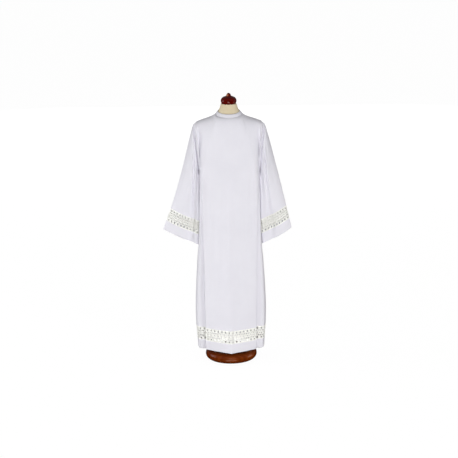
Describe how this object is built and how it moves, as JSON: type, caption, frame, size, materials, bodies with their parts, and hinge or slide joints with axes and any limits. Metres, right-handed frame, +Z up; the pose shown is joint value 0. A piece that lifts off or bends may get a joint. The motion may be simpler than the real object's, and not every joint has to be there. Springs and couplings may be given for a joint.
{
  "type": "alb robe on dress form",
  "caption": "Long white alb with openwork bands at hem and cuffs, worn by a limbless dress form on a round turned wooden foot.",
  "frame": {"origin": "centre of the foot's flat underside", "axes": "+Z up along the pole, -Y towards the front of the robe, +X towards the wearer's left"},
  "size_m": [0.767, 0.325, 1.6314],
  "materials": {
    "cloth": "matt white plain-woven cloth with a cool tint",
    "openwork": "ivory corded openwork",
    "form_fabric": "cream cotton stretched smooth",
    "cap_wood": "dark red-brown turned wood, glossy varnish",
    "foot_wood": "red-brown turned wood, glossy varnish",
    "pole_enamel": "off-white enamelled steel tube"
  },
  "bodies": {
    "root": {"alb_front": "cloth", "alb_back": "cloth", "alb_collar": "cloth", "sleeve_right": "cloth", "sleeve_left": "cloth", "hem_border_front": "cloth", "hem_border_back": "cloth", "cuff_border_right": "cloth", "cuff_border_left": "cloth", "hem_lace_front": "openwork", "hem_lace_back": "openwork", "cuff_lace_right_front": "openwork", "cuff_lace_right_back": "openwork", "cuff_lace_left_front": "openwork", "cuff_lace_left_back": "openwork", "form_torso": "form_fabric", "form_neck_cap": "cap_wood", "form_pole": "pole_enamel", "form_foot": "foot_wood"}
  },
  "joints": []
}
